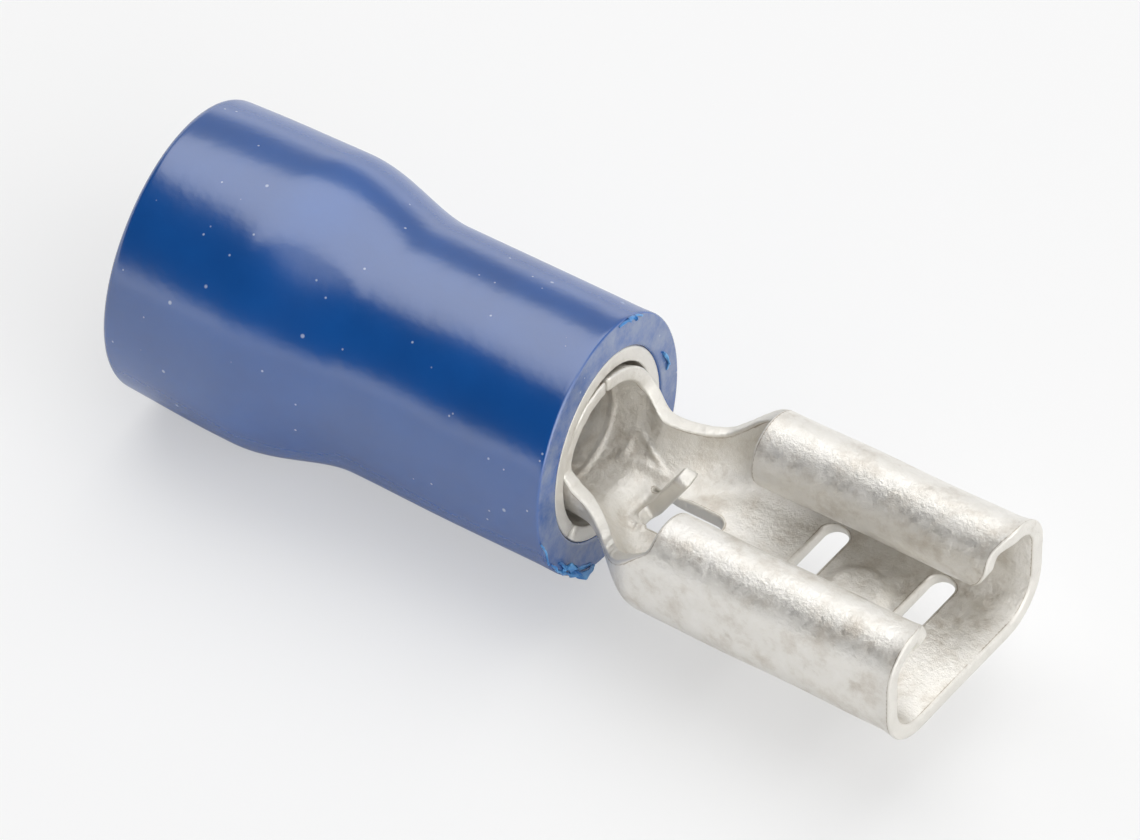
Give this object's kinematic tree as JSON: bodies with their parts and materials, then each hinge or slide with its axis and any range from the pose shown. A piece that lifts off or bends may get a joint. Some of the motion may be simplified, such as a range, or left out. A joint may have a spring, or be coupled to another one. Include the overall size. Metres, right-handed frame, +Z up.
{
  "type": "female spade terminal",
  "caption": "Vinyl-insulated push-on receptacle with a rolled wire barrel, an open neck with a tab stop, a slotted floor and curled rolls that grip a flat tab.",
  "frame": {"origin": "on the wire barrel's axis, at its rear end, where the wire enters it", "axes": "+X along the terminal towards the mouth that takes the tab, +Z up, away from the receptacle's flat floor, +Y across"},
  "size_m": [0.021, 0.007, 0.007],
  "materials": {
    "vinyl": "smooth glossy blue vinyl with fine specks and scuffs",
    "support_metal": "tin-plated, dull",
    "tinned_sheet": "bright tin plating, lightly mottled, sheared edges"
  },
  "bodies": {
    "root": {"insulation_sleeve": "vinyl", "support_sleeve": "support_metal", "terminal": "tinned_sheet"}
  },
  "joints": []
}
